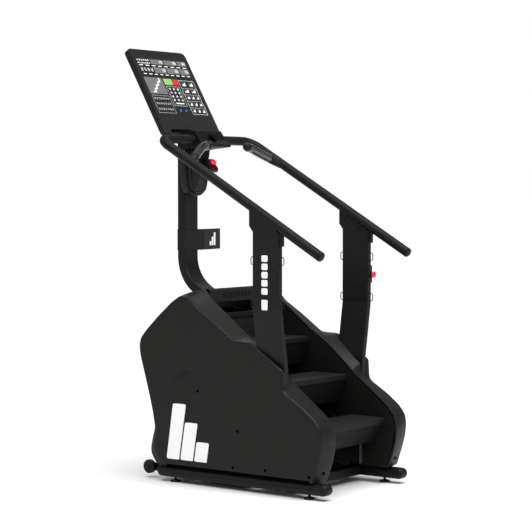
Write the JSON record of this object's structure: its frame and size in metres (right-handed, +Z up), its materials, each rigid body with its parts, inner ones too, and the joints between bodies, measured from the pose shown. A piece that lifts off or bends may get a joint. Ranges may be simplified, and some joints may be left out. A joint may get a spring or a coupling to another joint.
{
  "type": "stair climber",
  "caption": "Gym stair climber: steps on a chain loop between two moulded side shells, sloping handrails on uprights, and a mast that carries a large tilted console.",
  "frame": {"origin": "on the floor under the middle of the machine's overall box", "axes": "+Z up; the user climbs towards +Y; +X is on the user's right"},
  "size_m": [0.762, 1.3463, 2.1347],
  "materials": {
    "shell_plastic": "fine moulded grain, near black",
    "frame_paint": "near-black textured powder coat",
    "tread_plastic": "dark grey moulded plastic with a grip pattern",
    "grip_rubber": "matte black moulded grip",
    "drive_steel": "turned steel",
    "sensor_chrome": "bright pulse plate",
    "stop_red": "glossy red",
    "fascia_gloss": "smooth black fascia",
    "belt_rubber": "black belt",
    "wheel_plastic": "black moulded wheel"
  },
  "bodies": {
    "machine": {"base_rail_left": "frame_paint", "base_rail_right": "frame_paint", "base_cross_front": "frame_paint", "base_cross_rear": "frame_paint", "wheel_bracket_left": "frame_paint", "wheel_bracket_right": "frame_paint", "side_frame_left": "frame_paint", "side_frame_right": "frame_paint", "mast": "frame_paint", "mast_wing": "frame_paint", "upright_left": "frame_paint", "upright_right": "frame_paint", "upright_bracket_left": "frame_paint", "upright_bracket_right": "frame_paint", "handrail": "grip_rubber", "shell_left": "shell_plastic", "shell_right": "shell_plastic", "well_panel_left": "shell_plastic", "well_panel_right": "shell_plastic", "top_cover": "shell_plastic", "rear_cover": "shell_plastic", "console_pod": "shell_plastic", "console_housing": "shell_plastic", "console_nose": "shell_plastic", "stop_box_console": "shell_plastic", "stop_plate_upright": "shell_plastic", "controller_box": "shell_plastic", "grip_pod_left": "shell_plastic", "grip_pod_right": "shell_plastic", "grip_cap_left": "shell_plastic", "grip_cap_right": "shell_plastic", "console_fascia": "fascia_gloss", "grip_sensor_left": "sensor_chrome", "grip_sensor_right": "sensor_chrome", "step_chain_left": "drive_steel", "step_chain_right": "drive_steel", "drive_belt": "belt_rubber"},
    "foot_front_left": {"foot_front_left": "frame_paint"},
    "foot_front_right": {"foot_front_right": "frame_paint"},
    "foot_rear_left": {"foot_rear_left": "frame_paint"},
    "foot_rear_right": {"foot_rear_right": "frame_paint"},
    "transport_wheel_left": {"transport_wheel_left": "wheel_plastic"},
    "transport_wheel_right": {"transport_wheel_right": "wheel_plastic"},
    "step_1": {"tread_1": "tread_plastic", "riser_1": "tread_plastic"},
    "step_2": {"tread_2": "tread_plastic", "riser_2": "tread_plastic"},
    "step_3": {"tread_3": "tread_plastic", "riser_3": "tread_plastic"},
    "step_4": {"tread_4": "tread_plastic", "riser_4": "tread_plastic"},
    "return_step_1": {"return_step_1": "tread_plastic"},
    "return_step_2": {"return_step_2": "tread_plastic"},
    "return_step_3": {"return_step_3": "tread_plastic"},
    "drive_shaft": {"drive_shaft": "drive_steel"},
    "lower_shaft": {"lower_shaft": "drive_steel"},
    "brake_wheel": {"brake_wheel": "drive_steel"},
    "stop_button_console": {"stop_button_console": "stop_red"},
    "stop_button_upright": {"stop_button_upright": "stop_red"}
  },
  "joints": [
    {"name": "drive_shaft_turn", "type": "hinge", "parent": "machine", "child": "drive_shaft", "pos_m": [0, 0.1998, 0.605], "axis": [1, 0, 0], "range_deg": [0, 40]},
    {"name": "lower_shaft_turn", "type": "hinge", "parent": "machine", "child": "lower_shaft", "pos_m": [0, -0.3952, 0.165], "axis": [1, 0, 0], "range_deg": [0, 40]},
    {"name": "brake_wheel_turn", "type": "hinge", "parent": "machine", "child": "brake_wheel", "pos_m": [0, 0.2098, 0.34], "axis": [1, 0, 0], "range_deg": [0, 107]},
    {"name": "step_1_run", "type": "slide", "parent": "machine", "child": "step_1", "axis": [0, -0.804, -0.5946], "range_m": [0, 0.056]},
    {"name": "step_2_run", "type": "slide", "parent": "machine", "child": "step_2", "axis": [0, -0.804, -0.5946], "range_m": [0, 0.056]},
    {"name": "step_3_run", "type": "slide", "parent": "machine", "child": "step_3", "axis": [0, -0.804, -0.5946], "range_m": [0, 0.056]},
    {"name": "step_4_run", "type": "slide", "parent": "machine", "child": "step_4", "axis": [0, -0.804, -0.5946], "range_m": [0, 0.056]},
    {"name": "return_step_1_run", "type": "slide", "parent": "machine", "child": "return_step_1", "axis": [0, 0.804, 0.5946], "range_m": [0, 0.056]},
    {"name": "return_step_2_run", "type": "slide", "parent": "machine", "child": "return_step_2", "axis": [0, 0.804, 0.5946], "range_m": [0, 0.056]},
    {"name": "return_step_3_run", "type": "slide", "parent": "machine", "child": "return_step_3", "axis": [0, 0.1736, 0.9848], "range_m": [0, 0.056]},
    {"name": "foot_front_left_screw", "type": "slide", "parent": "machine", "child": "foot_front_left", "axis": [0, 0, -1], "range_m": [0, 0.015]},
    {"name": "foot_front_right_screw", "type": "slide", "parent": "machine", "child": "foot_front_right", "axis": [0, 0, -1], "range_m": [0, 0.015]},
    {"name": "foot_rear_left_screw", "type": "slide", "parent": "machine", "child": "foot_rear_left", "axis": [0, 0, -1], "range_m": [0, 0.015]},
    {"name": "foot_rear_right_screw", "type": "slide", "parent": "machine", "child": "foot_rear_right", "axis": [0, 0, -1], "range_m": [0, 0.015]},
    {"name": "transport_wheel_left_spin", "type": "hinge", "parent": "machine", "child": "transport_wheel_left", "pos_m": [-0.296, 0.4368, 0.056], "axis": [1, 0, 0], "continuous": true},
    {"name": "transport_wheel_right_spin", "type": "hinge", "parent": "machine", "child": "transport_wheel_right", "pos_m": [0.296, 0.4368, 0.056], "axis": [1, 0, 0], "continuous": true},
    {"name": "stop_button_console_press", "type": "slide", "parent": "machine", "child": "stop_button_console", "axis": [0, 0.8, -0.6], "range_m": [0, 0.0025], "stiffness_N_per_m": 1200},
    {"name": "stop_button_upright_press", "type": "slide", "parent": "machine", "child": "stop_button_upright", "axis": [0, 1, 0], "range_m": [0, 0.0025], "stiffness_N_per_m": 1200}
  ],
  "couplings": [
    {"joint": "lower_shaft_turn", "follows": "drive_shaft_turn", "ratio": 1},
    {"joint": "brake_wheel_turn", "follows": "drive_shaft_turn", "ratio": 2.6638},
    {"joint": "step_1_run", "follows": "drive_shaft_turn", "m_per_rad": 0.08},
    {"joint": "step_2_run", "follows": "drive_shaft_turn", "m_per_rad": 0.08},
    {"joint": "step_3_run", "follows": "drive_shaft_turn", "m_per_rad": 0.08},
    {"joint": "step_4_run", "follows": "drive_shaft_turn", "m_per_rad": 0.08},
    {"joint": "return_step_1_run", "follows": "drive_shaft_turn", "m_per_rad": 0.08},
    {"joint": "return_step_2_run", "follows": "drive_shaft_turn", "m_per_rad": 0.08},
    {"joint": "return_step_3_run", "follows": "drive_shaft_turn", "m_per_rad": 0.08}
  ]
}
